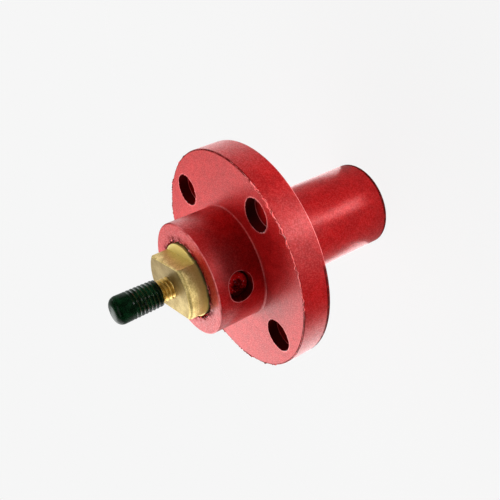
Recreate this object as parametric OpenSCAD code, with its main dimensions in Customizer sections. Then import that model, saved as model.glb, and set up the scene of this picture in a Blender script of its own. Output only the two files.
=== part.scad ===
// Panel-mount single pole cam lock receptacle, socket type, with a threaded rear terminal.
// The axis runs along Z: the mating mouth faces down and the terminal stud points up.
// The origin is the centre of the flange's mounting face, the one that lies against the panel.

/* [Flange] */
// Diameter of the round flange
flange_d = 82.5; // [78:0.5:110]
// Thickness of the flange
flange_t = 11.1; // [7:0.1:18]
// Diameter of each mounting hole
bolt_hole_d = 12; // [5:0.1:13]
// Distance from the flange's rim in to the centre of each mounting hole
bolt_inset = 9.25; // [8.5:0.05:11]
// Number of mounting holes
bolt_count = 4; // [2:1:6]

/* [Rear boss] */
// Diameter of the boss behind the flange
boss_d = 41.5; // [36:0.1:46]
// Length of the boss behind the flange
boss_len = 18.3; // [16:0.1:30]
// Gap round the contact at the boss's open mouth
mouth_gap = 1.15; // [0.4:0.05:2]
// Depth of the wider mouth
mouth_depth = 2; // [1:0.1:3]

/* [Front barrel] */
// Outside diameter of the barrel
barrel_d = 32.6; // [28:0.1:40]
// Length of the barrel in front of the flange
barrel_len = 50; // [46:0.5:80]
// How far the contact lies back from the barrel's mouth
nose_recess = 6; // [2:0.1:10]
// Chamfer inside the barrel's mouth
mouth_chamfer = 1.2; // [0.3:0.1:2]

/* [Edges] */
// Radius of the moulding's outer edges
edge_r = 0.5; // [0.2:0.05:1.5]
// Radius of the root where the barrel or boss meets the flange
root_r = 0.8; // [0.2:0.05:2]
// Chamfer on the brass, pin and screw edges
turned_chamfer = 0.4; // [0.1:0.05:0.8]

/* [Contact] */
// Diameter of the socket that takes the mating pin
socket_d = 16; // [13:0.1:18]
// Length of the close-fitting part of the socket
socket_len = 24; // [14:0.5:26]
// Length of the relieved part of the socket behind it
relief_len = 12; // [8:0.5:14]
// Radial depth of that relief
relief_depth = 0.6; // [0.2:0.05:1]
// Wall of the socket sleeve
sleeve_wall = 3; // [2:0.1:3.5]
// Width of the saw cuts that split the sleeve into spring fingers
slot_w = 1.4; // [0.6:0.1:2]
// Number of saw cuts, each right across the sleeve
slot_cuts = 2; // [1:1:3]
// Radial width of the shoulder between sleeve and shank
shoulder_w = 2.5; // [1.5:0.1:3]
// How far past the mounting face the shoulder seats in the flange
shoulder_seat = 4; // [1:0.1:6]
// How far the contact's tail stands out of the boss
tail_len = 7.3; // [6.5:0.1:12]
// Length of the wrench flats on the tail
flats_len = 6.6; // [3:0.1:7]
// Depth of each wrench flat
flat_depth = 4.2; // [2:0.05:5]
// Radius of the round edge at the tail's end
tail_round = 1; // [0.2:0.05:1.5]

/* [Cam pin] */
// Diameter of the cam pin's hole
cam_pin_d = 4; // [3:0.1:5]
// How far the cam pin stands into the socket
cam_pin_reach = 3.6; // [2:0.1:4.5]

/* [Terminal stud] */
// Outside diameter of the stud's thread
stud_d = 7.94; // [6:0.01:10]
// Length of the stud outside the contact
stud_len = 20.6; // [14:0.1:40]
// Length of the stud screwed into the contact
stud_hold = 10; // [6:0.1:14]
// Chamfer on the ends of the stud
stud_chamfer = 0.9; // [0.3:0.1:1.5]

/* [Thread cap] */
// Bare thread between the contact and the cap
cap_start = 4.7; // [2:0.1:10]
// Wall of the cap
cap_wall = 0.95; // [0.6:0.05:2]
// Thickness of the cap's closed end
cap_end = 1; // [0.6:0.05:2]
// Radius of the cap's closed end
cap_round = 2.6; // [1:0.1:3.5]

/* [Retaining screw] */
// Width of the screw's access hole along the boss
screw_hole_d = 9.1; // [8.6:0.1:11]
// How much longer the access hole is round the boss
screw_hole_oval = 1.8; // [0.2:0.1:2.5]
// Outside diameter of the retaining screw
screw_d = 8.4; // [5:0.1:9]
// Height of the screw above the mounting face
screw_up = 9.4; // [7:0.1:10]
// How far the screw's end lies below the boss
screw_recess = 2.6; // [0.5:0.1:4]
// How far the screw is sunk into the contact
screw_hold = 5.5; // [3:0.1:7]
// Width across the flats of the screw's hex socket
screw_hex = 4; // [2:0.1:5]
// Depth of the screw's hex socket
screw_hex_depth = 3.2; // [1.5:0.1:5]

/* [Fits] */
// Radial gap between the contact and the moulding
moulding_gap = 0.15; // [0.05:0.05:0.4]
// Radial gap between a screwed, pressed or pushed-on piece and its seat
seat_gap = 0.05; // [0.02:0.01:0.2]

/* [Hidden] */
$fn = 96;
// Straight steps in the section of a rounded edge
round_steps = 5;
// Overrun of a cutting tool past the face that it breaks through
overrun = 1;

// Radii, from the sizes above
flange_r = flange_d / 2;
boss_r = boss_d / 2;
barrel_r = barrel_d / 2;
socket_r = socket_d / 2;
relief_r = socket_r + relief_depth;
sleeve_r = socket_r + sleeve_wall;
shank_r = sleeve_r + shoulder_w;
barrel_bore_r = sleeve_r + moulding_gap;
boss_bore_r = shank_r + moulding_gap;
boss_mouth_r = shank_r + mouth_gap;
stud_r = stud_d / 2;
stud_fit_r = stud_r + seat_gap;
cap_r = stud_fit_r + cap_wall;
screw_r = screw_d / 2;
bolt_circle_r = flange_r - bolt_inset;

// Heights, from the mounting face at zero
tail_top = boss_len + tail_len;
flats_foot = tail_top - flats_len;
barrel_mouth = -flange_t - barrel_len;
sleeve_mouth = barrel_mouth + nose_recess;
relief_start = sleeve_mouth + socket_len;
socket_end = relief_start + relief_len;
cam_pin_at = relief_start + relief_len / 2;
stud_foot = tail_top - stud_hold;
stud_top = tail_top + stud_len;
cap_mouth = tail_top + cap_start;
cap_top = stud_top + cap_end;

// The saw cuts stop short of the cam pin
slot_len = socket_len + relief_len / 5;

// Points of a round stretch of a section, from one angle to another
function arc(centre, radius, from, to) =
    [for (i = [0:round_steps]) let (a = from + (to - from) * i / round_steps) centre + radius * [cos(a), sin(a)]];

// Section of a turned pin between two heights, with both ends chamfered
function pin_section(low, high, radius, chamfer) = [
    [0, low],
    [radius - chamfer, low],
    [radius, low + chamfer],
    [radius, high - chamfer],
    [radius - chamfer, high],
    [0, high]
];

// Turns a section of [radius, height] points round the Z axis
module turned(section) {
    rotate_extrude() polygon(section);
}

// A cylinder that stands on one height and ends at another
module round_between(low, high, radius) {
    translate([0, 0, low]) cylinder(r = radius, h = high - low);
}

// Lays what stands on the axis out along +X at the retaining screw's height
module from_screw_side() {
    translate([0, 0, screw_up]) rotate([0, 90, 0]) children();
}

// Section of the moulding: barrel, flange and boss outside, stepped bore inside
function insulator_section() = concat(
    [
        [barrel_bore_r, -shoulder_seat],
        [barrel_bore_r, barrel_mouth + mouth_chamfer],
        [barrel_bore_r + mouth_chamfer, barrel_mouth]
    ],
    arc([barrel_r - edge_r, barrel_mouth + edge_r], edge_r, -90, 0),
    arc([barrel_r + root_r, -flange_t - root_r], root_r, 180, 90),
    arc([flange_r - edge_r, -flange_t + edge_r], edge_r, -90, 0),
    arc([flange_r - edge_r, -edge_r], edge_r, 0, 90),
    arc([boss_r + root_r, root_r], root_r, 270, 180),
    arc([boss_r - edge_r, boss_len - edge_r], edge_r, 0, 90),
    [
        [boss_mouth_r, boss_len],
        [boss_mouth_r, boss_len - mouth_depth],
        [boss_bore_r, boss_len - mouth_depth],
        [boss_bore_r, -shoulder_seat]
    ]
);

// One moulding: front barrel, round flange and rear boss, with the mounting and screw holes
module insulator() {
    color("firebrick")
    difference() {
        turned(insulator_section());
        for (i = [0:bolt_count - 1])
            rotate([0, 0, (i + 0.5) * 360 / bolt_count])
                translate([bolt_circle_r, 0, 0])
                    round_between(-flange_t - overrun, overrun, bolt_hole_d / 2);
        for (side = [-1, 1])
            from_screw_side()
                translate([0, side * screw_hole_oval / 2, 0]) round_between(0, boss_r + overrun, screw_hole_d / 2);
        from_screw_side()
            translate([-screw_hole_d / 2, -screw_hole_oval / 2, 0])
                cube([screw_hole_d, screw_hole_oval, boss_r + overrun]);
    }
}

// Section of the contact turned from bar: sleeve with its socket, shoulder, shank and tail
function contact_section() = concat(
    [
        [0, tail_top],
        [0, socket_end],
        [relief_r, socket_end],
        [relief_r, relief_start],
        [socket_r, relief_start],
        [socket_r, sleeve_mouth + turned_chamfer],
        [socket_r + turned_chamfer, sleeve_mouth],
        [sleeve_r - turned_chamfer, sleeve_mouth],
        [sleeve_r, sleeve_mouth + turned_chamfer],
        [sleeve_r, -shoulder_seat],
        [shank_r, -shoulder_seat]
    ],
    arc([shank_r - tail_round, tail_top - tail_round], tail_round, 0, 90)
);

// Section of the stock milled away beside one wrench flat, with the flat's end edge broken
function flat_cut_section() = let (flat_r = shank_r - flat_depth) [
    [flat_r, flats_foot],
    [shank_r + overrun, flats_foot],
    [shank_r + overrun, tail_top + overrun],
    [flat_r - turned_chamfer - overrun, tail_top + overrun],
    [flat_r, tail_top - turned_chamfer]
];

// Brass contact: wrench flats and terminal hole at the tail, spring fingers round the socket
module contact() {
    color("darkkhaki")
    difference() {
        turned(contact_section());
        for (turn = [90, 270])
            rotate([0, 0, turn])
                rotate([90, 0, 0])
                    linear_extrude(height = 2 * (shank_r + overrun), center = true)
                        polygon(flat_cut_section());
        for (i = [0:slot_cuts - 1])
            rotate([0, 0, (i + 0.5) * 180 / slot_cuts])
                translate([-sleeve_r - overrun, -slot_w / 2, sleeve_mouth - overrun])
                    cube([2 * (sleeve_r + overrun), slot_w, slot_len + overrun]);
        translate([0, 0, cam_pin_at]) rotate([0, 90, 0]) round_between(0, sleeve_r + overrun, cam_pin_d / 2);
        round_between(stud_foot, tail_top + overrun, stud_fit_r);
        from_screw_side() round_between(shank_r - screw_hold, shank_r + overrun, screw_r + seat_gap);
    }
}

// Steel pin pressed through the sleeve's wall, which the mating pin's cam groove turns against
module cam_pin() {
    color("silver")
    translate([0, 0, cam_pin_at])
        rotate([0, 90, 0])
            turned(pin_section(
                relief_r - cam_pin_reach, sleeve_r - turned_chamfer, cam_pin_d / 2 - seat_gap, turned_chamfer
            ));
}

// Brass stud screwed into the contact's tail
module terminal_stud() {
    color("goldenrod")
    turned(pin_section(stud_foot, stud_top, stud_r, stud_chamfer));
}

// Soft cap pushed over the stud's thread
module thread_cap() {
    color("darkgreen")
    turned(concat(
        [[0, cap_top], [0, stud_top], [stud_fit_r, stud_top], [stud_fit_r, cap_mouth], [cap_r, cap_mouth]],
        arc([cap_r - cap_round, cap_top - cap_round], cap_round, 0, 90)
    ));
}

// Headless screw that locks the contact into the moulding, with a hex socket in its end
module retaining_screw() {
    screw_top = boss_r - screw_recess;
    color("dimgray")
    from_screw_side()
        difference() {
            turned(pin_section(shank_r - screw_hold, screw_top, screw_r, turned_chamfer));
            translate([0, 0, screw_top - screw_hex_depth])
                cylinder(d = screw_hex / cos(30), h = screw_hex_depth + overrun, $fn = 6);
        }
}

insulator();
contact();
cam_pin();
terminal_stud();
thread_cap();
retaining_screw();
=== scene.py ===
"""Looks of a panel-mount cam lock receptacle: moulded red rubber, bare brass and a green soft cap."""

import logging
import math
from dataclasses import dataclass, field
from enum import Enum
from functools import reduce
from operator import add
from typing import Any, Callable, Sequence

import bpy
from bpy.types import Material, Node, NodeSocket, Object, World
from mathutils import Matrix, Vector, noise


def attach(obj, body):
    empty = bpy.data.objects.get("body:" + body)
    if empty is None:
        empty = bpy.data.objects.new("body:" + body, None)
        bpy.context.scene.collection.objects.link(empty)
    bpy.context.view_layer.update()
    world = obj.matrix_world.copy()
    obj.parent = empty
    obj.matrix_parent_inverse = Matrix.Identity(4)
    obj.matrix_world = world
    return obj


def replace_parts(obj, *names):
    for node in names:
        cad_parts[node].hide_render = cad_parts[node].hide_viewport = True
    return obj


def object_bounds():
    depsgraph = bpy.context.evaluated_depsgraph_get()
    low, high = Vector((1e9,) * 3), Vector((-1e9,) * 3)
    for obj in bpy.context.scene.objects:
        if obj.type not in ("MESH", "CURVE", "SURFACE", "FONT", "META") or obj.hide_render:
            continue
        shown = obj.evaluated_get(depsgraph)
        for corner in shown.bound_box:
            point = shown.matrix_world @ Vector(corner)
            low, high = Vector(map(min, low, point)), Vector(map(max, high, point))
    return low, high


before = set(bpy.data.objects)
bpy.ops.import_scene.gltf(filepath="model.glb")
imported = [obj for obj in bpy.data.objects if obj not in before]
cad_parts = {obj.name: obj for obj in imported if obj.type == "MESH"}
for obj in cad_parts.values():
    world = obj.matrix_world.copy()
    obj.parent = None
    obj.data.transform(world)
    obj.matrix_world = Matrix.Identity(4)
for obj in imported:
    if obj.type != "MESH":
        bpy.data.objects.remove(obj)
CAD_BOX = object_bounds()

LOG = logging.getLogger("receptacle")
MM = 0.001
ROOT = "root"

Triple = tuple[float, float, float]
Colour = Triple
Span = tuple[float, float]
Weights = tuple[float, ...]
WHITE: Colour = (1.0, 1.0, 1.0)


def mm(low: float, high: float) -> Span:
    """A span in metres, given in millimetres."""
    return low * MM, high * MM


class Slot(Enum):
    """Material slots of the record."""

    RUBBER = "red_rubber"
    CONTACT = "contact_brass"
    PIN = "pin_steel"
    STUD = "stud_brass"
    CAP = "green_vinyl"
    SCREW = "screw_nylon"


class Signal:
    """A number socket that takes part in Python arithmetic."""

    def __init__(self, graph: "Graph", socket: NodeSocket) -> None:
        """Keeps the output socket and the graph that new Math nodes go into."""
        self.graph = graph
        self.socket = socket

    def _math(self, operation: str, *operands: "Signal | float") -> "Signal":
        """Result of one Math node, with the operands in the node's order."""
        node = self.graph.node("Math", dict(enumerate(operands)), operation=operation)
        return Signal(self.graph, node.outputs[0])

    def __add__(self, other: "Signal | float") -> "Signal":
        """Sum."""
        return self._math("ADD", self, other)

    __radd__ = __add__

    def __sub__(self, other: "Signal | float") -> "Signal":
        """Difference."""
        return self._math("SUBTRACT", self, other)

    def __rsub__(self, other: "Signal | float") -> "Signal":
        """Difference from a plain number."""
        return self._math("SUBTRACT", other, self)

    def __mul__(self, other: "Signal | float") -> "Signal":
        """Product."""
        return self._math("MULTIPLY", self, other)

    __rmul__ = __mul__

    def __pow__(self, other: "Signal | float") -> "Signal":
        """Power."""
        return self._math("POWER", self, other)

    def __abs__(self) -> "Signal":
        """Size without its sign."""
        return self._math("ABSOLUTE", self)

    def at_least(self, floor: float) -> "Signal":
        """The signal, or the floor where it falls below that."""
        return self._math("MAXIMUM", self, floor)

    def lifted(self, least_and_more: Span) -> "Signal":
        """The first number where the signal is 0, and the second more than that where it is 1."""
        return least_and_more[0] + least_and_more[1] * self

    def between(self, low: float, high: float) -> "Signal":
        """Smooth step from 0 at one value to 1 at another.

        Args:
            low: Value that gives 0.
            high: Value that gives 1.

        Returns:
            The stepped signal.
        """
        values = {"Value": self, "From Min": low, "From Max": high}
        node = self.graph.node("MapRange", values, interpolation_type="SMOOTHSTEP")
        return Signal(self.graph, node.outputs["Result"])

    def band(self, low: float, high: float, fade: float) -> "Signal":
        """1 inside a range and 0 outside it, with a soft step of the fade's width at each end."""
        return self.between(low - fade, low) * (1 - self.between(high, high + fade))


def blend(parts: Sequence[Signal], weights: Weights) -> Signal:
    """Weighted sum of signals."""
    return reduce(add, [part * weight for part, weight in zip(parts, weights)])


class Graph:
    """The node tree of one material or of the surroundings."""

    def __init__(self, owner: Material | World) -> None:
        """Empties the owner's node tree.

        Args:
            owner: Material or world that the nodes belong to.
        """
        self.owner = owner
        owner.use_nodes = True
        self.tree = owner.node_tree
        self.tree.nodes.clear()

    @classmethod
    def material(cls, name: str) -> "Graph":
        """Starts a new material."""
        return cls(bpy.data.materials.new(name))

    def node(self, kind: str, values: dict[str | int, Any] | None = None, **settings: Any) -> Node:
        """Adds any node.

        Args:
            kind: Blender's node type, without the ShaderNode that it begins with.
            values: Socket name or number to a plain value, a socket or a signal.
            settings: Properties to set first.

        Returns:
            The new node.
        """
        made = self.tree.nodes.new("ShaderNode" + kind)
        for key, value in settings.items():
            setattr(made, key, value)
        for key, value in (values or {}).items():
            self.feed(made.inputs[key], value)
        return made

    def feed(self, socket: NodeSocket, value: Any) -> None:
        """Links a signal or socket into an input, or sets a plain value there.

        Args:
            socket: Input to feed.
            value: Signal, output socket or plain value.
        """
        if isinstance(value, Signal):
            self.tree.links.new(value.socket, socket)
        elif isinstance(value, NodeSocket):
            self.tree.links.new(value, socket)
        elif isinstance(value, tuple) and len(value) == 3 and socket.type == "RGBA":
            socket.default_value = (*value, 1.0)
        else:
            socket.default_value = value

    def place(self) -> NodeSocket:
        """Position on the piece in metres, in the part's frame."""
        return self.node("TexCoord").outputs["Object"]

    def axes(self) -> tuple[Signal, Signal, Signal]:
        """The position's three numbers."""
        parts = self.node("SeparateXYZ", {"Vector": self.place()})
        return tuple(Signal(self, parts.outputs[name]) for name in "XYZ")

    def camera_ray(self) -> Signal:
        """1 where the camera looks straight at the surface."""
        return Signal(self, self.node("LightPath").outputs["Is Camera Ray"])

    def grain(self, size_mm: float, detail: float = 2.0, roughness: float = 0.5) -> Signal:
        """Even noise round one half, by the size of a blotch and the number and strength of octaves."""
        values = {"Vector": self.place(), "Scale": 1 / (size_mm * MM), "Detail": detail}
        return Signal(self, self.node("TexNoise", values | {"Roughness": roughness}).outputs["Fac"])

    def streaks(self, along: Signal, size_mm: float, detail: float = 2.0) -> Signal:
        """Noise that changes along one measure only, such as tool marks of about the given width."""
        values = {"W": along * (1 / (size_mm * MM)), "Scale": 1.0, "Detail": detail}
        return Signal(self, self.node("TexNoise", values, noise_dimensions="1D").outputs["Fac"])

    def tint(self, factor: Signal, low: Any, high: Any) -> NodeSocket:
        """Mixes two colours.

        Args:
            factor: 0 for the first colour, 1 for the second.
            low: Colour or colour socket.
            high: Colour or colour socket.

        Returns:
            The mixed colour.
        """
        factor_at, low_at, high_at, mixed_at = 0, 6, 7, 2  # the colour sockets of Blender's Mix node
        values = {factor_at: factor, low_at: low, high_at: high}
        return self.node("Mix", values, data_type="RGBA").outputs[mixed_at]

    def bump(self, height: Signal, depth_mm: float, strength: float = 1.0) -> NodeSocket:
        """Normal of a relief with heights from 0 to 1, its real depth and the share of it that shows."""
        values = {"Height": height, "Distance": depth_mm * MM, "Strength": strength}
        return self.node("Bump", values).outputs["Normal"]

    def mix(self, factor: Signal, first: Node, second: Node) -> Node:
        """Mixes two shaders: the first where the factor is 0, the second where it is 1."""
        values = {0: factor, 1: first.outputs[0], 2: second.outputs[0]}
        return self.node("MixShader", values)

    def surface(
        self,
        values: dict[str, Any],
        cover: Signal | None = None,
        covered: dict[str, Any] | None = None,
    ) -> Material:
        """Ends the graph in one shader, or in two where a second finish covers part of the first.

        Args:
            values: Sockets of the shader.
            cover: Mask of the second finish.
            covered: Sockets of the second finish's shader.

        Returns:
            The finished material.
        """
        shader = self.node("BsdfPrincipled", values)
        if cover is not None:
            shader = self.mix(cover, shader, self.node("BsdfPrincipled", covered))
        self.node("OutputMaterial", {"Surface": shader.outputs[0]})
        return self.owner


@dataclass(frozen=True)
class Place:
    """The shaded point's three numbers in metres and its distance from the axis."""

    x: Signal
    y: Signal
    z: Signal
    out: Signal

    @classmethod
    def on(cls, graph: Graph) -> "Place":
        """Measures the point."""
        x, y, z = graph.axes()
        return cls(x, y, z, (x * x + y * y) ** 0.5)


@dataclass(frozen=True)
class RubberMarks:
    """Masks of the moulding's bores, of painted shade along some outer edges and of painted highlights
    along rounded edges; each span is in metres.
    """

    fade: float = 0.08 * MM
    bolt_corner: float = 32.0 * MM * math.sqrt(0.5)
    bolt_wall: Span = mm(6.0, 6.08)
    bolt_lip: Span = mm(6.05, 6.40)
    bolt_height: Span = mm(-0.50, 0.10)
    bolt_share: float = 0.6
    screw_up: float = 9.4 * MM
    screw_oval: float = 0.9 * MM
    screw_bore: Span = mm(4.55, 4.63)
    screw_inside: Span = mm(4.0, 8.0)
    screw_lip: Span = mm(4.55, 4.77)
    screw_side: Span = mm(0.0, 10.0)
    above_flange: Span = mm(-1.0, 1.0)
    flange_rim: Span = mm(40.75, 40.83)
    near_edge: Span = mm(-0.50, -0.42)
    far_edge: Span = mm(-9.83, -9.75)
    far_clean: Span = mm(4.0, 7.0)
    far_corner: Span = mm(40.95, 41.03)
    far_height: Span = mm(-11.10, -10.74)
    far_highlight_span: Span = mm(7.0, 31.0)
    far_highlight_fade: float = 3.0 * MM
    torn_at: float = 25.0
    torn_reach: Span = mm(33.0, 38.0)
    mouth_rim: Span = mm(14.95, 15.03)
    mouth_edge: Span = mm(-59.83, -59.75)
    boss_ring: Span = mm(20.49, 20.71)
    boss_height: Span = mm(17.88, 17.94)
    boss_front: Span = mm(-6.0, 6.0)
    foot_ring: Span = mm(21.00, 21.25)
    foot_height: Span = mm(0.02, 0.50)
    foot_share: float = 0.1
    smudge_ring: Span = mm(14.9, 17.6)
    smudge_height: Span = mm(18.1, 18.2)

    def screw_distance(self, at: Place) -> Signal:
        """Distance from the middle line of the retaining screw's oblong hole."""
        side, lift = (abs(at.y) - self.screw_oval).at_least(0.0), at.z - self.screw_up
        return (side * side + lift * lift) ** 0.5

    def bolt_distance(self, at: Place) -> Signal:
        """Distance from the axis of the nearest bolt hole."""
        across, along = abs(at.x) - self.bolt_corner, abs(at.y) - self.bolt_corner
        return (across * across + along * along) ** 0.5

    def bores(self, at: Place) -> tuple[Signal, Signal]:
        """Masks of the walls of the bolt holes and of the retaining screw's hole."""
        screw = 1 - self.screw_distance(at).between(*self.screw_bore)
        return 1 - self.bolt_distance(at).between(*self.bolt_wall), screw * at.x.between(*self.screw_inside)

    def boss_edge(self, at: Place) -> Signal:
        """Mask of the rounded outer edge of the boss's end."""
        return at.out.band(*self.boss_ring, self.fade) * at.z.between(*self.boss_height)

    def boss_mouth(self, at: Place) -> Signal:
        """Mask of the boss's end face next to the contact."""
        return (1 - at.out.between(*self.smudge_ring)) * at.z.between(*self.smudge_height)

    def painted_shade_edges(self, at: Place) -> Signal:
        """Mask of painted shade: dark lines along the outer edges of the flange, the barrel's mouth and the
        boss's end on its -X side.

        Args:
            at: Measures of the point.

        Returns:
            1 on the edges and 0 elsewhere.
        """
        torn = math.radians(self.torn_at)
        whole = 1 - (at.x * math.cos(torn) + at.y * math.sin(torn)).between(*self.torn_reach)
        near = at.z.between(*self.near_edge) * whole
        far = (1 - at.z.between(*self.far_edge)) * (1 - at.y.between(*self.far_clean))
        mouth = at.out.between(*self.mouth_rim) * (1 - at.z.between(*self.mouth_edge))
        back = self.boss_edge(at) * (1 - at.x.between(*self.boss_front))
        return at.out.between(*self.flange_rim) * (near + far) + mouth + back

    def corners(self, at: Place) -> Signal:
        """Mask of painted highlights: pale lines along rounded edges, the boss's foot and the holes' lips.

        Args:
            at: Measures of the point.

        Returns:
            1 on the painted highlights and 0 elsewhere.
        """
        far = at.out.between(*self.far_corner) * at.z.band(*self.far_height, self.fade)
        far = far * at.y.band(*self.far_highlight_span, self.far_highlight_fade)
        ring = self.boss_edge(at) * at.x.between(*self.boss_front)
        foot = at.out.band(*self.foot_ring, self.fade) * at.z.band(*self.foot_height, self.fade)
        lip = self.screw_distance(at).band(*self.screw_lip, self.fade)
        lip = lip * at.x.between(*self.screw_side) * at.z.between(*self.above_flange)
        hole = self.bolt_distance(at).band(*self.bolt_lip, self.fade)
        hole = hole * at.z.band(*self.bolt_height, self.fade)
        return far + ring + foot * self.foot_share + lip + hole * self.bolt_share


@dataclass(frozen=True)
class MouldedRubber:
    """Satin red rubber with a fine moulded grain, stains by the boss's mouth, painted shade in the bores
    and on some outer edges, and painted highlights on rounded edges.
    """

    marks: RubberMarks = RubberMarks()
    deep: Colour = (0.29, 0.0023, 0.003)
    bright: Colour = (0.43, 0.0046, 0.0055)
    chalk: Colour = (0.66, 0.02, 0.02)
    painted_highlight: Colour = (0.80, 0.22, 0.22)
    grime_and_shade: Colour = (0.040, 0.001, 0.001)
    shaded_bore_wall: Colour = (0.26, 0.001, 0.001)
    painted_shade: Colour = (0.075, 0.001, 0.001)
    painted_shade_edge: Span = mm(-3.98, -3.90)
    step_highlight: Span = mm(-4.15, -3.90)
    step_highlight_share: float = 0.6
    pigment_mix: Weights = (0.25, 0.35, 0.40)
    pigment_span: Span = (0.38, 0.62)
    dust_mix: Weights = (0.10, 0.25, 0.65)
    dust_span: Span = (0.44, 0.60)
    dust_share: float = 0.24
    dust_coat: Span = (0.12, 0.52)
    patch_span: Span = (0.30, 0.55)
    shade_edge_share: Span = (0.35, 0.60)
    painted_highlight_share: Span = (0.25, 0.75)
    smudge_mix: Weights = (0.6, 0.4)
    smudge_span: Span = (0.47, 0.56)
    smudge_share: float = 0.9
    smoothest: float = 0.12
    rough_mix: Weights = (0.32, 0.14, 0.5)
    relief_mix: Weights = (0.55, 0.45)

    def painted_bore_shade(self, graph: Graph, at: Place, bolt: Signal, screw: Signal) -> NodeSocket:
        """Colour of the bores' walls as painted shade: near black close to the flange's face and dark red
        deeper in, with a pale painted highlight line where the two meet; the screw hole's wall is dark red
        all through.

        Args:
            graph: Graph of the material.
            at: Measures of the point.
            bolt: Mask of the bolt holes' walls.
            screw: Mask of the screw hole's wall.

        Returns:
            The colour.
        """
        colour = graph.tint(at.z.between(*self.painted_shade_edge), self.shaded_bore_wall, self.painted_shade)
        step_highlight = at.z.band(*self.step_highlight, self.marks.fade) * bolt * self.step_highlight_share
        return graph.tint(screw, graph.tint(step_highlight, colour, self.painted_highlight), self.shaded_bore_wall)

    def make(self, name: str) -> Material:
        """Builds the material.

        Args:
            name: Its name.

        Returns:
            The material.
        """
        graph = Graph.material(name)
        at = Place.on(graph)
        cloud = graph.grain(size_mm=9.0, detail=3.0)
        blotch = graph.grain(size_mm=2.6, detail=2.0, roughness=0.6)
        fine = graph.grain(size_mm=0.9, detail=3.0, roughness=0.65)
        speck = graph.grain(size_mm=0.42, detail=1.0)
        patchy = blotch.between(*self.patch_span)
        pigment = blend((cloud, blotch, fine), self.pigment_mix).between(*self.pigment_span)
        dusty = blend((blotch, fine, speck), self.dust_mix).between(*self.dust_span)
        smudge = blend((blotch, fine), self.smudge_mix).between(*self.smudge_span) * self.smudge_share
        # painted shade along outer edges, and real stains round the boss's mouth
        stain_and_shade = self.marks.painted_shade_edges(at) * patchy.lifted(self.shade_edge_share) + self.marks.boss_mouth(at) * smudge
        colour = graph.tint(pigment, self.deep, self.bright)
        colour = graph.tint(dusty * self.dust_share, colour, self.chalk)
        colour = graph.tint(stain_and_shade, colour, self.grime_and_shade)
        # pale painted highlights along rounded edges and hole lips
        colour = graph.tint(self.marks.corners(at) * patchy.lifted(self.painted_highlight_share), colour, self.painted_highlight)
        bolt, screw = self.marks.bores(at)
        # painted shade: the bores' walls are a darker copy of the rubber
        wall = self.painted_bore_shade(graph, at, bolt, screw)
        relief = graph.bump(blend((fine, speck), self.relief_mix), depth_mm=0.11, strength=0.8)
        return graph.surface(
            {
                "Base Color": colour,
                "Roughness": self.smoothest + blend((fine, blotch, stain_and_shade), self.rough_mix),
                "Normal": relief,
                "IOR": 2.0,
                "Specular IOR Level": 1.0,
                "Specular Tint": (0.45, 0.09, 0.09),
                "Coat Weight": dusty.lifted(self.dust_coat) * (1 - stain_and_shade),
                "Coat Roughness": 0.3,
            },
            # the bores' shader is dark, rough and barely reflecting, as painted shade
            bolt + screw - bolt * screw,
            {"Base Color": wall, "Roughness": 0.9, "Normal": relief, "Specular IOR Level": 0.05},
        )


@dataclass(frozen=True)
class TornRubber:
    """Thin torn rubber: pale flecks that are partly painted highlight, more of them towards +X, and dark
    painted shade between them.
    """

    # pale is partly painted highlight; dark is painted shade
    pale: Colour = (0.95, 0.22, 0.22)
    dark: Colour = (0.12, 0.001, 0.001)
    pale_highlight_span: Span = (0.50, 0.64)
    highlit_side_span: Span = mm(10.2, 34.0)
    highlit_side_share: float = 0.32

    def make(self, name: str) -> Material:
        """Builds the material.

        Args:
            name: Its name.

        Returns:
            The material.
        """
        graph = Graph.material(name)
        # more pale painted highlight towards +X
        stretched = Place.on(graph).x.between(*self.highlit_side_span) * self.highlit_side_share
        patch = graph.grain(size_mm=1.4, detail=2.0, roughness=0.6) + stretched
        fine = graph.grain(size_mm=0.4, detail=1.0)
        return graph.surface(
            {
                "Base Color": graph.tint(patch.between(*self.pale_highlight_span), self.dark, self.pale),
                "Roughness": fine.lifted((0.45, 0.2)),
                "Normal": graph.bump(fine, depth_mm=0.04, strength=0.6),
                "Specular IOR Level": 0.12,
                "Specular Tint": (1.0, 0.45, 0.45),
                "Subsurface Weight": 1.0,
                "Subsurface Radius": (1.0, 0.4, 0.4),
                "Subsurface Scale": 0.5 * MM,
            }
        )


class ToolMarks(Enum):
    """How a bare metal face was cut."""

    TURNED = "turned"
    GROUND = "ground"


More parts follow.
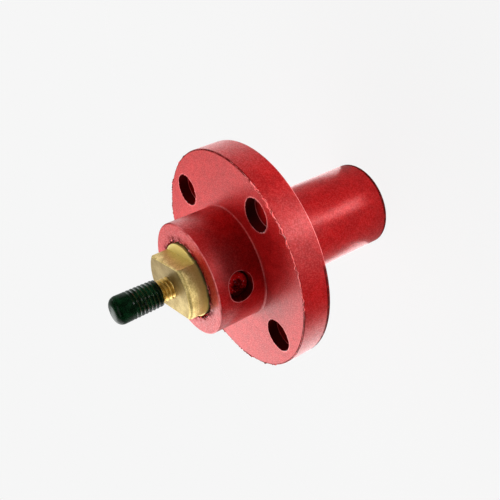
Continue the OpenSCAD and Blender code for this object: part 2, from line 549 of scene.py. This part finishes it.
@dataclass(frozen=True)
class AgedTail:
    """Age and painted shade of the contact's tail: a dull end face that is darker towards +Y and -X as
    painted shade, an oxide film on its side, grime and painted shade at the rubber ring.
    """

    face: Span = mm(25.56, 25.58)
    dull: Colour = (0.25, 0.17, 0.05)
    dull_least: float = 0.38
    dull_mix: Weights = (0.37, 0.4)
    face_shade_span: Span = mm(-9.0, 9.0)
    film_end: Span = mm(19.08, 25.08)
    film_colour: Colour = (0.62, 0.48, 0.12)
    film_share: Span = (0.6, 0.4)
    film_dims: float = 0.55
    seam_end: Span = mm(18.8, 19.9)
    seam_wave: float = 1.6 * MM
    seam_share: float = 0.9
    grime_and_shade: Colour = (0.045, 0.040, 0.012)
    rough_mix: Weights = (0.04, 0.3)

    def age(
        self, graph: Graph, at: Place, stain: Signal, base: NodeSocket
    ) -> tuple[NodeSocket, Signal, Signal]:
        """Ages a colour and paints shade on it.

        Args:
            graph: Graph of the material.
            at: Measures of the point.
            stain: Noise of the tarnish.
            base: Colour to age.

        Returns:
            The aged colour, the roughness to add and the shine to take off.
        """
        face, film = at.z.between(*self.face), 1 - at.z.between(*self.film_end)
        seam = 1 - (at.z + stain * self.seam_wave).between(*self.seam_end)
        # painted shade: the end face darker towards +Y and -X
        face_shade_side = (at.y - at.x).between(*self.face_shade_span)
        made = graph.tint(face * (self.dull_least + blend((face_shade_side, stain), self.dull_mix)), base, self.dull)
        made = graph.tint(film * stain.lifted(self.film_share), made, self.film_colour)
        # dark band by the rubber ring: grime and painted shade
        made = graph.tint(seam * self.seam_share, made, self.grime_and_shade)
        return made, blend((face, seam), self.rough_mix), film * self.film_dims


@dataclass(frozen=True)
class BareMetal:
    """Bare machined metal with tool marks and a slight tarnish."""

    clean: Colour
    tarnished: Colour
    marks: ToolMarks = ToolMarks.TURNED
    smoothest: float = 0.2
    metallic: float = 1.0
    tail: AgedTail | None = None
    turned_slant: float = 0.7
    tarnish_mix: Weights = (0.40, 0.25, 0.35)
    tarnish_span: Span = (0.40, 0.60)
    rough_mix: Weights = (0.16, 0.10)
    relief_mix: Weights = (0.75, 0.25)

    def make(self, name: str) -> Material:
        """Builds the material.

        Args:
            name: Its name.

        Returns:
            The material.
        """
        graph = Graph.material(name)
        at = Place.on(graph)
        along = at.out + at.z * self.turned_slant if self.marks is ToolMarks.TURNED else at.x + at.z
        lines = graph.streaks(along, size_mm=0.22, detail=3.0)
        stain = graph.grain(size_mm=3.5, detail=3.0, roughness=0.6)
        pits = graph.grain(size_mm=0.5, detail=2.0)
        tarnish = blend((stain, lines, pits), self.tarnish_mix).between(*self.tarnish_span)
        colour = graph.tint(tarnish, self.clean, self.tarnished)
        rough = self.smoothest + blend((stain, lines), self.rough_mix)
        shine = self.metallic
        if self.tail is not None:
            colour, rougher, dimmed = self.tail.age(graph, at, stain, colour)
            rough, shine = rough + rougher, self.metallic - dimmed
        relief = graph.bump(blend((lines, pits), self.relief_mix), depth_mm=0.03, strength=0.8)
        values = {"Base Color": colour, "Metallic": shine, "Roughness": rough, "Normal": relief}
        return graph.surface(values)


@dataclass(frozen=True)
class SoftVinyl:
    """Dip-moulded vinyl, dark and glossy, with a faint unevenness."""

    deep: Colour = (0.0015, 0.008, 0.0025)
    thin: Colour = (0.003, 0.022, 0.007)
    thin_span: Span = (0.35, 0.65)
    tip_span: Span = mm(39.5, 45.5)
    relief_mix: Weights = (0.8, 0.2)
    stretched_coat: Span = (0.35, 0.5)
    tip_coat: float = 0.05

    def make(self, name: str) -> Material:
        """Builds the material.

        Args:
            name: Its name.

        Returns:
            The material.
        """
        graph = Graph.material(name)
        cloud = graph.grain(size_mm=2.4, detail=2.0)
        dust = graph.grain(size_mm=0.4, detail=2.0)
        stretched = 1 - Place.on(graph).z.between(*self.tip_span)
        return graph.surface(
            {
                "Base Color": graph.tint(cloud.between(*self.thin_span), self.deep, self.thin),
                "Roughness": dust.lifted((0.15, 0.15)),
                "Normal": graph.bump(blend((cloud, dust), self.relief_mix), depth_mm=0.05, strength=0.5),
                "Specular IOR Level": 0.05,
                "Coat Weight": self.tip_coat + stretched * dust.lifted(self.stretched_coat),
                "Coat Roughness": 0.12,
            }
        )


@dataclass(frozen=True)
class DarkNylon:
    """Moulded dark nylon of the retaining screw, with pale specks of painted glint and painted shade on its
    -Y side.
    """

    deep: Colour = (0.420, 0.002, 0.003)
    bright: Colour = (0.760, 0.012, 0.014)
    bright_span: Span = (0.35, 0.65)
    painted_glint: Colour = (0.85, 0.28, 0.32)
    painted_glint_span: Span = (0.66, 0.70)
    painted_shade: Colour = (0.030, 0.0005, 0.0005)
    painted_shade_span: Span = mm(-1.6, -0.2)
    painted_shade_wave: float = 2.0 * MM

    def make(self, name: str) -> Material:
        """Builds the material.

        Args:
            name: Its name.

        Returns:
            The material.
        """
        graph = Graph.material(name)
        grain = graph.grain(size_mm=0.6, detail=3.0)
        # pale specks: painted glints
        glint_specks = graph.grain(size_mm=0.9, detail=1.0).between(*self.painted_glint_span)
        # painted shade on the screw's -Y side
        lower_shade = 1 - (Place.on(graph).y + grain * self.painted_shade_wave).between(*self.painted_shade_span)
        colour = graph.tint(grain.between(*self.bright_span), self.deep, self.bright)
        colour = graph.tint(glint_specks, colour, self.painted_glint)
        return graph.surface(
            {
                "Base Color": graph.tint(lower_shade, colour, self.painted_shade),
                "Roughness": grain.lifted((0.14, 0.2)),
                "Normal": graph.bump(grain, depth_mm=0.12, strength=0.9),
                "Specular IOR Level": 0.45,
                "Specular Tint": (1.0, 0.15, 0.15),
            }
        )


@dataclass
class Draft:
    """A mesh under construction, as rings of points round an axis."""

    points: list[Vector] = field(default_factory=list)
    faces: list[tuple[int, ...]] = field(default_factory=list)

    def ring(self, points: Sequence[Vector]) -> list[int]:
        """Adds one ring of points and gives their numbers."""
        self.points.extend(points)
        return list(range(len(self.points) - len(points), len(self.points)))

    def bridge(self, low: list[int], high: list[int]) -> None:
        """Joins two closed rings of equal length; the second lies to the left of the first as it runs."""
        self.faces.extend(zip(low, low[1:] + low[:1], high[1:] + high[:1], high))

    def stack(self, rings: list[list[int]]) -> None:
        """Joins each ring with the next one."""
        for low, high in zip(rings, rings[1:]):
            self.bridge(low, high)

    def cap(self, ring: list[int], height: float, facing_up: bool) -> None:
        """Closes a ring with a fan of triangles.

        Args:
            ring: Ring to close.
            height: Height of the point in the middle, on the axis.
            facing_up: True where the closed end looks along +Z.
        """
        middle = self.ring([Vector((0, 0, height))]) * len(ring)
        after = ring[1:] + ring[:1]
        self.faces.extend(zip(ring, after, middle) if facing_up else zip(after, ring, middle))

    def piece(self, name: str, material: Material, slot: Slot) -> Object:
        """Makes the object, smooth shaded, riding on the part.

        Args:
            name: Name of the piece.
            material: Its material.
            slot: The record's slot for it; not used.

        Returns:
            The object.
        """
        mesh = bpy.data.meshes.new(name)
        mesh.from_pydata([tuple(p) for p in self.points], [], self.faces)
        mesh.update()
        mesh.shade_smooth()
        mesh.materials.append(material)
        made = bpy.data.objects.new(name, mesh)
        bpy.context.scene.collection.objects.link(made)
        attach(made, ROOT)
        return made


def clamp(value: float, least: float = 0.0) -> float:
    """The value, kept between a least one and 1."""
    return min(1.0, max(least, value))


def circle(radius: Callable[[float], float], height: Callable[[float], float], count: int) -> list[Vector]:
    """Points round the Z axis, counter-clockwise from above, by the radius and height at an angle."""
    turn = [2 * math.pi * i / count for i in range(count)]
    return [Vector((radius(a) * math.cos(a), radius(a) * math.sin(a), height(a))) for a in turn]


@dataclass
class ThreadForm:
    """Sizes of the stud's thread, in metres, and its shape as a height over the root."""

    radius: float = 3.97 * MM
    pitch: float = 1.411 * MM
    depth: float = 0.80 * MM
    root_share: float = 0.16
    flank_share: float = 0.70

    def phase(self, angle: float, height: float) -> float:
        """Share of one turn past the last crest, right-handed."""
        return (height / self.pitch - angle / (2 * math.pi)) % 1.0

    def crest(self, angle: float, height: float) -> float:
        """Height of the flank at a place, 1 on the crest and 0 in the root."""
        slope = abs(2 * self.phase(angle, height) - 1)
        return clamp((slope - self.root_share) / self.flank_share)

    def swell(self, angle: float, height: float) -> float:
        """Soft rounded ridge over each crest, as a skin stretched over the thread shows it."""
        return (0.5 + 0.5 * math.cos(2 * math.pi * self.phase(angle, height))) ** 2


@dataclass
class TerminalStud:
    """Threaded brass stud in the contact's tail."""

    thread: ThreadForm
    foot: float = 15.6 * MM
    top: float = 46.2 * MM
    chamfer: float = 0.9 * MM
    columns: int = 72
    rows_per_turn: int = 16

    def wall(self, angle: float, height: float) -> float:
        """Radius of the stud at a place, with both ends chamfered."""
        radius = self.thread.radius - self.thread.depth * (1 - self.thread.crest(angle, height))
        return min(radius, self.thread.radius - self.chamfer + min(height - self.foot, self.top - height))

    def build(self, material: Material) -> Object:
        """Makes the threaded piece.

        Args:
            material: Brass of the stud.

        Returns:
            The object that stands for the plain stud.
        """
        draft = Draft()
        rows = round((self.top - self.foot) / self.thread.pitch * self.rows_per_turn)
        rings = []
        for i in range(rows + 1):
            height = self.foot + (self.top - self.foot) * i / rows
            rings.append(draft.ring(circle(lambda a: self.wall(a, height), lambda a: height, self.columns)))
        draft.stack(rings)
        draft.cap(rings[0], self.foot, False)
        draft.cap(rings[-1], self.top, True)
        made = draft.piece("stud_thread", material, Slot.STUD)
        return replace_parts(made, "terminal_stud")


@dataclass
class ThreadCap:
    """Soft cap stretched over the stud, which shows the thread under its skin."""

    thread: ThreadForm
    mouth: float = 30.3 * MM
    top: float = 47.2 * MM
    bore: float = 4.02 * MM
    bore_top: float = 46.2 * MM
    mouth_radius: float = 4.72 * MM
    tip_radius: float = 5.05 * MM
    tip_round: float = 2.7 * MM
    taper: float = 0.7
    ridge: float = 0.30 * MM
    ridge_end: float = 0.86
    ridge_fade: float = 0.22
    ridge_start: float = 0.05
    drape: Span = (0.75, 0.5)
    drape_mm: float = 3.0
    lip: float = 0.12 * MM
    lip_waves: float = 1.7
    lip_seed: float = 4.0
    columns: int = 72
    rows_per_turn: int = 14
    round_rows: int = 10
    tip_row: float = 0.6

    def skin(self, angle: float, height: float) -> float:
        """Outside radius at a place below the rounded tip.

        Args:
            angle: Place round the axis in radians.
            height: Height in metres.

        Returns:
            The radius in metres.
        """
        share = (height - self.mouth) / (self.top - self.tip_round - self.mouth)
        plain = self.mouth_radius + (self.tip_radius - self.mouth_radius) * min(1.0, share) ** self.taper
        fade = clamp((self.ridge_end - share) / self.ridge_fade) * min(1.0, share / self.ridge_start)
        spot = Vector((math.cos(angle), math.sin(angle), height / MM / self.drape_mm))
        drape = self.drape[0] + self.drape[1] * noise.noise(spot)
        return plain + self.ridge * fade * drape * (self.thread.swell(angle, height) - 0.5)

    def lip_height(self, angle: float) -> float:
        """Height of the cut mouth, which isn't quite even."""
        spot = Vector((self.lip_waves * math.cos(angle), self.lip_waves * math.sin(angle), self.lip_seed))
        return self.mouth + self.lip * noise.noise(spot)

    def build(self, material: Material) -> Object:
        """Makes the cap.

        Args:
            material: Vinyl of the cap.

        Returns:
            The object that stands for the plain cap.
        """
        draft = Draft()
        shoulder = self.top - self.tip_round
        rows = round((shoulder - self.mouth) / self.thread.pitch * self.rows_per_turn)
        bore_end = draft.ring(circle(lambda a: self.bore, lambda a: self.bore_top, self.columns))
        rings = [draft.ring(circle(lambda a: self.bore, self.lip_height, self.columns))]
        draft.cap(bore_end, self.bore_top, False)
        draft.bridge(rings[0], bore_end)
        draft.faces = [tuple(reversed(f)) for f in draft.faces]  # the bore's wall looks inwards
        for i in range(rows + 1):
            height = self.mouth + (shoulder - self.mouth) * i / rows
            level = self.lip_height if i == 0 else (lambda a: height)
            rings.append(draft.ring(circle(lambda a: self.skin(a, height), level, self.columns)))
        for i in range(1, self.round_rows + 1):
            turn = math.pi / 2 * i / (self.round_rows + self.tip_row)
            radius = self.tip_radius - self.tip_round * (1 - math.cos(turn))
            height = shoulder + self.tip_round * math.sin(turn)
            rings.append(draft.ring(circle(lambda a: radius, lambda a: height, self.columns)))
        draft.stack(rings)
        draft.cap(rings[-1], self.top, True)
        made = draft.piece("cap_skin", material, Slot.CAP)
        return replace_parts(made, "thread_cap")


@dataclass
class FlashFin:
    """A thin torn fin of rubber left along one round edge of the mould."""

    centre: Vector
    radius: float
    direction: Span
    tallest: float
    grain_mm: float
    seed: float
    thickness: float = 0.10 * MM
    mean: float = 0.45
    ragged_at: float = 0.0
    ragged: float = 0.0
    cut: float = 0.05
    foot: float = -0.10 * MM
    tip_share: float = 0.35
    coarse_times: float = 4.0
    coarse_share: float = 0.9
    fine_share: float = 0.75
    steps_per_mm: float = 5.0
    fewest_steps: int = 96

    def height(self, angle: float) -> float:
        """Height of the fin at an angle, nothing where it broke away clean.

        Args:
            angle: Place round the edge in radians.

        Returns:
            The height in metres.
        """
        along = Vector((math.cos(angle), math.sin(angle), 0)) * (self.radius / MM)
        coarse = noise.noise(along / (self.grain_mm * self.coarse_times) + Vector((self.seed, 0, 7)))
        fine = noise.noise(along / self.grain_mm + Vector((0, self.seed, 3)))
        side = self.ragged * math.cos(angle - math.radians(self.ragged_at))
        torn = self.mean + side + self.coarse_share * coarse + self.fine_share * fine
        return self.tallest * clamp(torn, self.cut)

    def rail(self, reach: Callable[[float], float], side: float, count: int) -> list[Vector]:
        """Points along the fin.

        Args:
            reach: Height over the edge at an angle.
            side: Distance from the fin's middle.
            count: Number of points.

        Returns:
            The points, once round the edge.
        """
        out, up = self.direction
        points = circle(
            lambda a: self.radius + out * reach(a) - up * side, lambda a: up * reach(a) + out * side, count
        )
        return [self.centre + p for p in points]

    def add_to(self, draft: Draft) -> None:
        """Adds the fin to a mesh.

        Args:
            draft: Mesh of all the flash.
        """
        count = max(self.fewest_steps, round(2 * math.pi * self.radius / MM * self.steps_per_mm))
        half = self.thickness / 2
        tip = half * self.tip_share
        rings = [
            draft.ring(self.rail(lambda a: self.foot, -half, count)),
            draft.ring(self.rail(self.height, -tip, count)),
            draft.ring(self.rail(self.height, tip, count)),
            draft.ring(self.rail(lambda a: self.foot, half, count)),
        ]
        draft.stack(rings + rings[:1])


@dataclass
class FlashStrand:
    """A round strand of rubber that peels off one side of a round edge; its ends are in degrees."""

    radius: float
    level: float
    ends: Span
    thickest: float
    stray: float
    wave_mm: float
    seed: float
    swell: Span = (0.55, 0.9)
    swell_waves: float = 0.7
    thinnest: float = 0.12
    taper: float = 12.0
    sides: int = 8
    steps_per_mm: float = 5.0

    def section(self, angle: float, share: float) -> list[Vector]:
        """Points round the strand.

        Args:
            angle: Place round the edge in radians.
            share: Share of the strand's length up to there.

        Returns:
            The points.
        """
        along = angle * self.radius / MM / self.wave_mm
        out = self.radius + self.stray * noise.noise(Vector((along, self.seed, 0)))
        up = self.level + self.stray * noise.noise(Vector((along, 0, self.seed)))
        lump = noise.noise(Vector((along * self.swell_waves, self.seed, self.seed)))
        half = self.thickest / 2 * clamp(self.swell[0] + self.swell[1] * lump, self.thinnest)
        half *= min(1.0, self.taper * share, self.taper * (1 - share))
        points = []
        for i in range(self.sides):
            turn = 2 * math.pi * i / self.sides
            reach = out + half * math.cos(turn)
            across = (reach * math.cos(angle), reach * math.sin(angle))
            points.append(Vector((*across, up + half * math.sin(turn))))
        return points

    def add_to(self, draft: Draft) -> None:
        """Adds the strand to a mesh.

        Args:
            draft: Mesh of all the flash.
        """
        start, end = (math.radians(angle) for angle in self.ends)
        steps = round((end - start) * self.radius / MM * self.steps_per_mm)
        rings = []
        for i in range(1, steps):
            rings.append(draft.ring(self.section(start + (end - start) * i / steps, i / steps)))
        draft.stack(rings[::-1])


@dataclass
class Moulding:
    """Red rubber insulator: the solid moulding and the torn flash on its edges."""

    flange_radius: float = 41.25 * MM
    edge_round: float = 0.5 * MM
    boss_height: float = 18.3 * MM
    mouth_radius: float = 14.65 * MM
    bolt_radius: float = 32.0 * MM
    hole_radius: float = 6.0 * MM
    holes: int = 4
    first_hole: float = 45.0

    def strands(self) -> list[FlashStrand]:
        """Strands that peel off the flange's near edge, on the side of the retaining screw."""
        return [
            FlashStrand(
                self.flange_radius - 0.10 * MM, -0.02 * MM, ends=(-14, 62), thickest=0.46 * MM,
                stray=0.75 * MM, wave_mm=1.6, seed=3.0,
            ),
            FlashStrand(
                self.flange_radius - 0.35 * MM, 0.03 * MM, ends=(20, 58), thickest=0.34 * MM,
                stray=1.3 * MM, wave_mm=2.2, seed=9.0,
            ),
        ]

    def fins(self) -> list[FlashFin]:
        """Fins on the flange's edge, most torn on the far side, the boss's mouth and the bolt holes.

        Returns:
            The fins.
        """
        slant = math.sqrt(0.5)
        corner = self.edge_round * (1 - slant)
        found = [
            FlashFin(
                Vector((0, 0, -corner)), self.flange_radius - corner, (slant, slant), tallest=0.45 * MM,
                grain_mm=0.9, seed=11.0, thickness=0.20 * MM, mean=0.10, ragged_at=205.0, ragged=0.25,
            ),
            FlashFin(
                Vector((0, 0, self.boss_height - 0.10 * MM)), self.mouth_radius + 0.05 * MM, (-0.98, 0.20),
                tallest=1.05 * MM, grain_mm=0.9, seed=23.0, thickness=0.26 * MM, mean=0.30,
            ),
        ]
        for i in range(self.holes):
            angle = math.radians(self.first_hole + 360 / self.holes * i)
            spot = Vector((math.cos(angle), math.sin(angle), 0)) * self.bolt_radius
            fin = FlashFin(
                spot, self.hole_radius, (-0.9, 0.43), tallest=0.22 * MM, grain_mm=0.8, seed=31.0 + 5 * i,
                thickness=0.12 * MM,
            )
            found.append(fin)
        return found

    def dress(self, material: Material, torn: Material) -> Object:
        """Paints the moulding and adds its flash.

        Args:
            material: Rubber of the moulding.
            torn: Rubber of the flash.

        Returns:
            The flash piece.
        """
        paint("insulator", material)
        draft = Draft()
        for piece in self.fins() + self.strands():
            piece.add_to(draft)
        return draft.piece("moulding_flash", torn, Slot.RUBBER)


@dataclass
class Contact:
    """Brass contact with its cam pin and retaining screw."""

    broken_edge: float = 0.15 * MM
    edge_steps: int = 2
    sharp_from: float = 35.0

    def dress(self, brass: Material, steel: Material, nylon: Material) -> None:
        """Paints the solids and rounds the contact's sharp edges a little, so that they catch the light.

        Args:
            brass: Finish of the contact.
            steel: Finish of the cam pin.
            nylon: Finish of the retaining screw.
        """
        for node, material in (("contact", brass), ("cam_pin", steel), ("retaining_screw", nylon)):
            paint(node, material)
        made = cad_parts["contact"].modifiers.new("broken_edges", "BEVEL")
        made.width = self.broken_edge
        made.segments = self.edge_steps
        made.limit_method = "ANGLE"
        made.angle_limit = math.radians(self.sharp_from)
        made.harden_normals = True


def paint(node: str, material: Material) -> None:
    """Gives a solid of the frame its finish.

    Args:
        node: Name of the solid.
        material: Finish to put on it.
    """
    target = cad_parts[node].data
    target.materials.clear()
    target.materials.append(material)


def bearing(turn: float, rise: float) -> Vector:
    """A direction given by its turn round the axis from +X and its rise over the flange, in degrees."""
    turned, risen = math.radians(turn), math.radians(rise)
    return Vector((math.cos(turned) * math.cos(risen), math.sin(turned) * math.cos(risen), math.sin(risen)))


class LampRole(Enum):
    """What a lamp is for."""

    PLAIN = "lights all that it reaches"
    GLINT = "gives highlights only"
    FILL = "gives even light only, and none on the floor"
    BRASS = "lights the brass only"


class LinkState(Enum):
    """Which objects a lamp's list names."""

    ONLY_THESE = "INCLUDE"
    ALL_BUT_THESE = "EXCLUDE"


@dataclass(frozen=True)
class Lamp:
    """A soft lamp that looks at the part's middle; degrees, metres and watts."""

    name: str
    role: LampRole
    turn: float
    sides: Span
    watts: float
    distance: float = 0.6
    rise: float = 0.0

    def place(self, made: Object) -> None:
        """Puts the lamp in its place."""
        made.location = bearing(self.turn, self.rise) * self.distance
        made.rotation_euler = bearing(self.turn, self.rise).to_track_quat("Z", "Y").to_euler()

    def build(self) -> Object:
        """Makes the lamp, which the camera doesn't see.

        Returns:
            The lamp.
        """
        data = bpy.data.lights.new(self.name, "AREA")
        data.shape = "RECTANGLE"
        data.size, data.size_y = self.sides
        data.energy = self.watts
        made = bpy.data.objects.new(self.name, data)
        self.place(made)
        made.visible_camera = False
        made.visible_diffuse = self.role is not LampRole.GLINT
        made.visible_glossy = self.role is not LampRole.FILL
        bpy.context.scene.collection.objects.link(made)
        return made


@dataclass(frozen=True)
class FloorLamp(Lamp):
    """A flat lamp that lies on the floor and looks up; its length runs along, or else off the axis."""

    along: float | None = None
    lift: float = 0.5 * MM

    def place(self, made: Object) -> None:
        """Puts the lamp in its place."""
        made.location = bearing(self.turn, 0) * self.distance + Vector((0, 0, CAD_BOX[0].z + self.lift))
        made.rotation_euler = (math.pi, 0, math.radians(self.turn if self.along is None else self.along))


def lamps() -> list[Lamp]:
    """All lamps round the part.

    Returns:
        The lamps in the order of their making.
    """
    plain, glint, fill, brass = LampRole
    soft = (0.3, 0.3)
    return [
        Lamp("behind", plain, 237, (0.7, 0.5), 2.15, rise=31),
        FloorLamp("barrel_strip", glint, 28.5, (0.060, 0.013), 0.0125, distance=0.060),
        FloorLamp("rim_strip", glint, 30, (0.040, 0.036), 0.032, distance=0.125),
        Lamp("above", glint, 12, (0.9, 0.3), 1.4, distance=0.7, rise=66),
        Lamp("edge", glint, 151, (0.14, 0.14), 0.13, rise=23),
        FloorLamp("fill_low", fill, 27, (0.16, 0.24), 0.18, distance=0.17),
        Lamp("fill_barrel", fill, 27, (0.12, 0.014), 0.10, distance=0.115, rise=-24.5),
        Lamp("fill_front", fill, 27, soft, 0.16, rise=5),
        Lamp("fill_left", fill, 110, soft, 1.7, rise=45),
        FloorLamp("fill_over", fill, 115, (0.12, 0.12), 0.20, distance=0.15),
        Lamp("fill_below", fill, -75, soft, 2.3, rise=7),
        Lamp("fill_behind", fill, 192, soft, 4.5, rise=42),
        FloorLamp("brass_low", brass, -60, (0.14, 0.40), 0.45, distance=0.16),
        Lamp("brass_front", brass, 8, (0.35, 0.35), 0.32, distance=0.5, rise=8),
        FloorLamp("low", plain, 268, (0.10, 0.13), 0.075, distance=0.125),
        FloorLamp("far", plain, 147, (0.18, 0.18), 0.095, distance=0.16),
        FloorLamp("lower_outline", plain, 247, (0.100, 0.026), 0.0215, distance=0.063, along=231),
        FloorLamp("upper_outline", plain, 170, (0.106, 0.022), 0.016, distance=0.061, along=185),
    ]


@dataclass
class Studio:
    """Camera, pale floor and soft light. The camera's place is given in units of the flange's radius."""

    unit: float = 41.25 * MM
    camera_place: Triple = (4.8331, 2.4701, 2.5827)
    right: Triple = (0.55704, -0.17457, -0.8119)
    up: Triple = (-0.2473, 0.89845, -0.3628)
    back: Triple = (0.79282, 0.40289, 0.4573)
    lens_mm: float = 49.73
    film_mm: float = 36.0
    seen_range: Span = (0.005, 20.0)
    pale: float = 0.922
    front_fill: float = 0.02
    back_fill: float = 0.66
    back_span: Span = (-0.35, 0.75)
    front_glow: float = 0.04
    behind_glow: float = 0.58
    glow_span: Span = (-0.06, 0.06)
    shadow: float = 0.10
    shadow_span: Span = (0.06, 0.22)
    lit_floor: float = 0.32
    matte_floor: float = 0.8
    floor_half: float = 4.0

    def camera(self) -> None:
        """Places the camera as in the photograph."""
        data = bpy.data.cameras.new("viewer")
        data.lens = self.lens_mm
        data.sensor_width = self.film_mm
        data.clip_start, data.clip_end = self.seen_range
        made = bpy.data.objects.new("viewer", data)
        turn = Matrix((self.right, self.up, self.back)).transposed()
        made.matrix_world = Matrix.Translation(Vector(self.camera_place) * self.unit) @ turn.to_4x4()
        bpy.context.scene.collection.objects.link(made)
        bpy.context.scene.camera = made

    def sky(self) -> None:
        """Surroundings that are bright behind the part and dim on the viewer's side."""
        world = bpy.data.worlds.new("surroundings")
        bpy.context.scene.world = world
        graph = Graph(world)
        away = {0: graph.node("TexCoord").outputs["Generated"], 1: -Vector(self.back)}
        behind = graph.node("VectorMath", away, operation="DOT_PRODUCT")
        glow = Signal(graph, behind.outputs["Value"]).between(*self.back_span)
        strength = self.front_fill + (self.back_fill - self.front_fill) * glow
        light = graph.node("Background", {"Color": WHITE, "Strength": strength})
        seen = graph.node("Background", {"Color": (self.pale,) * 3})
        ends = graph.mix(graph.camera_ray(), light, seen)
        graph.node("OutputWorld", {"Surface": ends.outputs[0]})

    def floor_finish(self) -> Material:
        """Pale floor that keeps a soft shadow near the part and glows a little, more so behind it.

        Returns:
            The material.
        """
        graph = Graph.material("pale_floor")
        seen, at = graph.camera_ray(), Place.on(graph)
        share = (1 - at.out.between(*self.shadow_span)) * seen * self.shadow
        ahead = (at.x * self.back[0] + at.y * self.back[1]).between(*self.glow_span)
        glow = ahead.lifted((self.behind_glow, self.front_glow - self.behind_glow))
        white = self.pale + share * (1 + share) * (self.pale - self.lit_floor)
        level = glow + seen * (white - glow)
        matte = graph.node("BsdfDiffuse", {"Color": (self.matte_floor,) * 3})
        pale = graph.node("Emission", {"Color": WHITE, "Strength": level})
        ends = graph.mix(1 - share, matte, pale)
        graph.node("OutputMaterial", {"Surface": ends.outputs[0]})
        return graph.owner

    def floor(self) -> None:
        """Lays the floor under the barrel's end."""
        mesh = bpy.data.meshes.new("floor")
        half, low = self.floor_half, CAD_BOX[0].z
        corners = [(-half, -half, low), (half, -half, low), (half, half, low), (-half, half, low)]
        mesh.from_pydata(corners, [], [(0, 1, 2, 3)])
        mesh.materials.append(self.floor_finish())
        made = bpy.data.objects.new("floor", mesh)
        bpy.context.scene.collection.objects.link(made)

    def link(self, made: list[Object], names: list[str], state: LinkState) -> None:
        """Makes lamps light only some objects, or all but those.

        Args:
            made: The lamps.
            names: Names of the objects.
            state: Whether only these objects are lit, or all but these.
        """
        group = bpy.data.collections.new("_".join([*names, state.value.lower()]))
        for name in names:
            group.objects.link(bpy.data.objects[name])
        for entry in group.collection_objects:
            entry.light_linking.link_state = state.value
        for lamp in made:
            lamp.light_linking.receiver_collection = group

    def light(self) -> None:
        """Sets up the lamps and what each of them lights."""
        made: dict[LampRole, list[Object]] = {role: [] for role in LampRole}
        for lamp in lamps():
            made[lamp.role].append(lamp.build())
        self.link(made[LampRole.FILL], ["floor"], LinkState.ALL_BUT_THESE)
        self.link(made[LampRole.BRASS], ["contact", "stud_thread"], LinkState.ONLY_THESE)

    def build(self) -> None:
        """Sets the whole stage."""
        bpy.context.scene.view_settings.view_transform = "Standard"
        self.camera()
        self.sky()
        self.floor()
        self.light()


def main() -> None:
    """Dresses the receptacle and sets the stage."""
    logging.basicConfig(level=logging.INFO, format="%(message)s")
    tail = BareMetal((0.98, 0.79, 0.34), (0.60, 0.43, 0.13), smoothest=0.32, metallic=0.85, tail=AgedTail())
    stud = BareMetal((0.98, 0.70, 0.22), (0.80, 0.50, 0.10), smoothest=0.28, metallic=0.9)
    pin = BareMetal((0.56, 0.56, 0.57), (0.42, 0.42, 0.43), ToolMarks.GROUND)
    contact_brass, stud_brass = tail.make(Slot.CONTACT.value), stud.make(Slot.STUD.value)
    Contact().dress(contact_brass, pin.make(Slot.PIN.value), DarkNylon().make(Slot.SCREW.value))
    thread = ThreadForm()
    made = [
        Moulding().dress(MouldedRubber().make(Slot.RUBBER.value), TornRubber().make("torn_rubber")),
        TerminalStud(thread).build(stud_brass),
        ThreadCap(thread).build(SoftVinyl().make(Slot.CAP.value)),
    ]
    for piece in made:
        LOG.info("made %s with %d faces", piece.name, len(piece.data.polygons))
    Studio().build()


if __name__ == "__main__":
    main()
